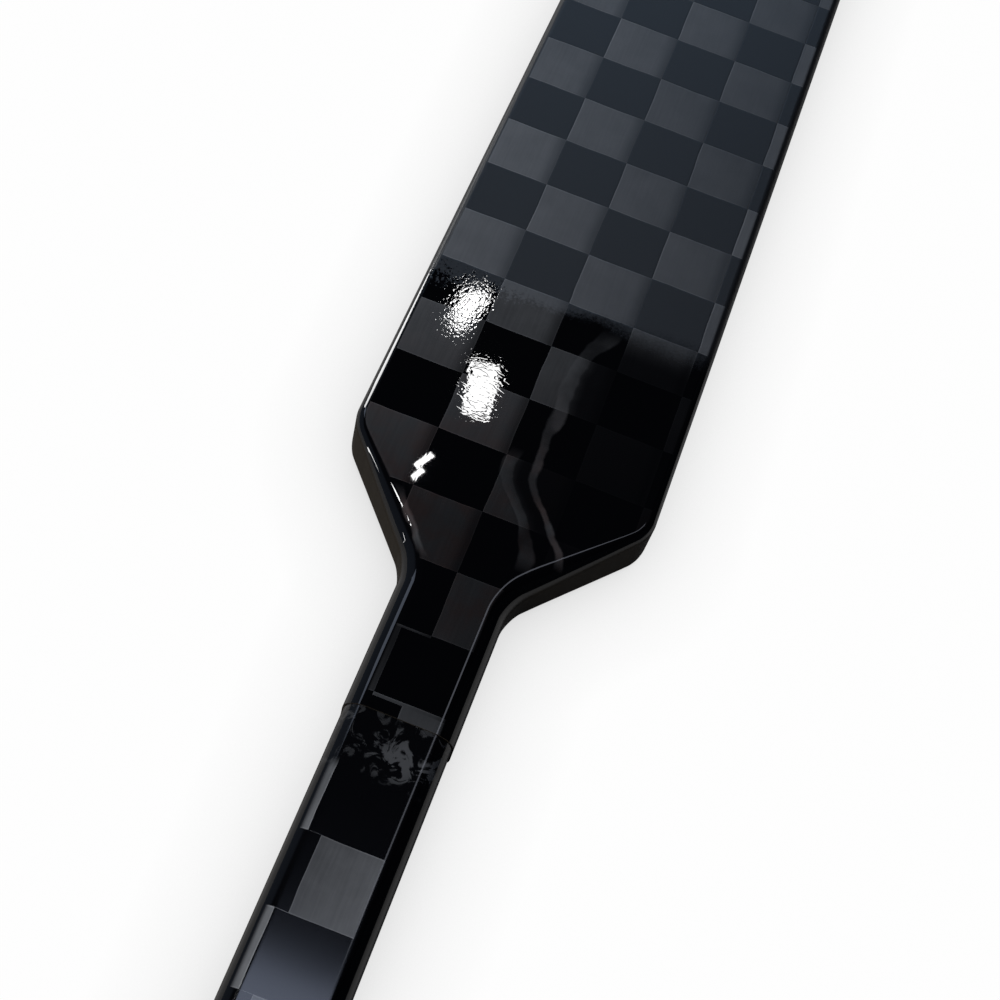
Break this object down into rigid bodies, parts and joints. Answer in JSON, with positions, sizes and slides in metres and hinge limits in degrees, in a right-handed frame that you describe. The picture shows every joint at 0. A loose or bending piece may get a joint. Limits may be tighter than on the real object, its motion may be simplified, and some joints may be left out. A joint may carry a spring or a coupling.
{
  "type": "hockey goalie stick",
  "caption": "Composite goalie stick: hollow shaft with a plugged butt, sloping shoulders, wide foam-cored paddle and curved blade, all in a checkered spread-tow carbon cloth.",
  "frame": {"origin": "on the back face, on the shaft's centre line, where the shoulders reach the paddle's full width", "axes": "+X along the shaft towards the blade, +Y to the side where the toe points, +Z out of the playing face; the stick lies on its back"},
  "size_m": [1.5605, 0.3777, 0.0233],
  "materials": {
    "cloth": "woven carbon cloth in epoxy, satin clear coat on paddle and blade, gloss from the shoulders up",
    "shaft_cloth": "woven carbon cloth in epoxy under a gloss clear coat",
    "laminate": "bare one-way carbon laminate",
    "foam": "closed-cell foam",
    "tenon": "sawn light hardwood",
    "plug": "moulded, fine grain"
  },
  "bodies": {
    "root": {"paddle_front_skin": "cloth", "paddle_back_skin": "cloth", "heel_wrap": "cloth", "blade_front_skin": "cloth", "blade_back_skin": "cloth", "shaft_weave_sleeve": "shaft_cloth", "shaft_tube": "laminate", "paddle_rail_toe_side": "laminate", "paddle_rail_heel_side": "laminate", "paddle_web": "laminate", "blade_rib": "laminate", "blade_sole_strip": "laminate", "tube_stopper": "foam", "paddle_core_upper_toe_side": "foam", "paddle_core_upper_heel_side": "foam", "paddle_core_lower_toe_side": "foam", "paddle_core_lower_heel_side": "foam", "blade_core_upper": "foam", "blade_core_lower": "foam", "heel_tenon": "tenon", "butt_plug": "plug"}
  },
  "joints": []
}
